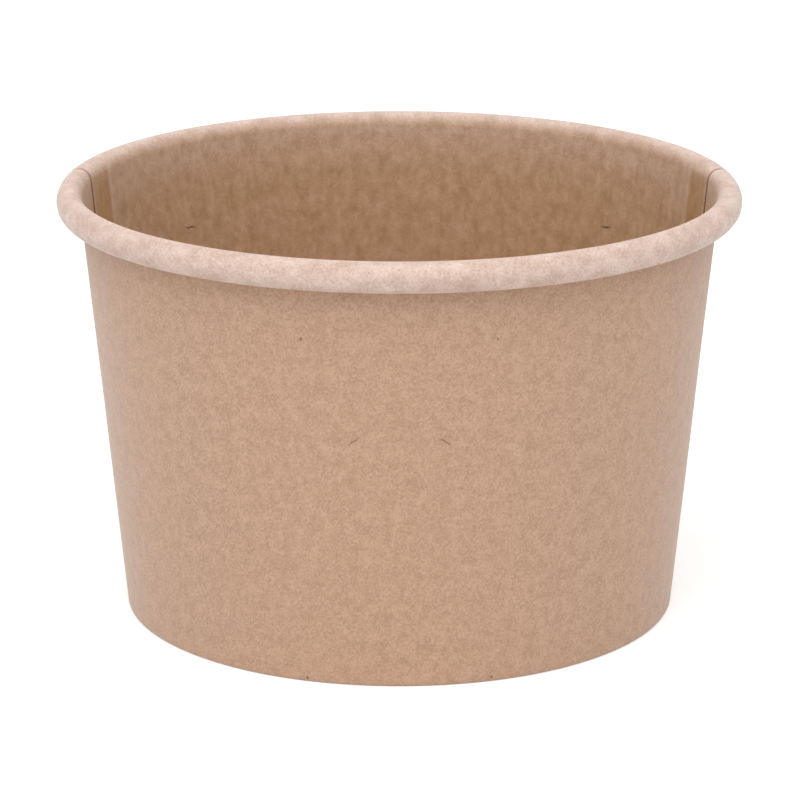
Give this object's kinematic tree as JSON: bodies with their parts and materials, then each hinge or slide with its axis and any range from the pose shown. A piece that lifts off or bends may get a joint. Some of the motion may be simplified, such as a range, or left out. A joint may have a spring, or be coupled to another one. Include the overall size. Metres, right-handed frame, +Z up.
{
  "type": "paper soup cup",
  "caption": "Squat tapered paper soup cup, open at the top, with a rolled rim for a lid, lapped side seams and a recessed base held by the foot's hem.",
  "frame": {"origin": "centre of the ring on which the cup stands, on the table", "axes": "+Z up along the cup's axis; -Y to the front, so the two lapped seams lie a little behind the left and right sides"},
  "size_m": [0.1144, 0.1144, 0.0727],
  "materials": {
    "wall_board": "matt unbleached kraft board with fine fibres and darker specks, paler where it is stretched over the rim",
    "base_board": "matt unbleached kraft board with fine fibres"
  },
  "bodies": {
    "root": {"wall_front": "wall_board", "wall_back": "wall_board", "base": "base_board"}
  },
  "joints": []
}
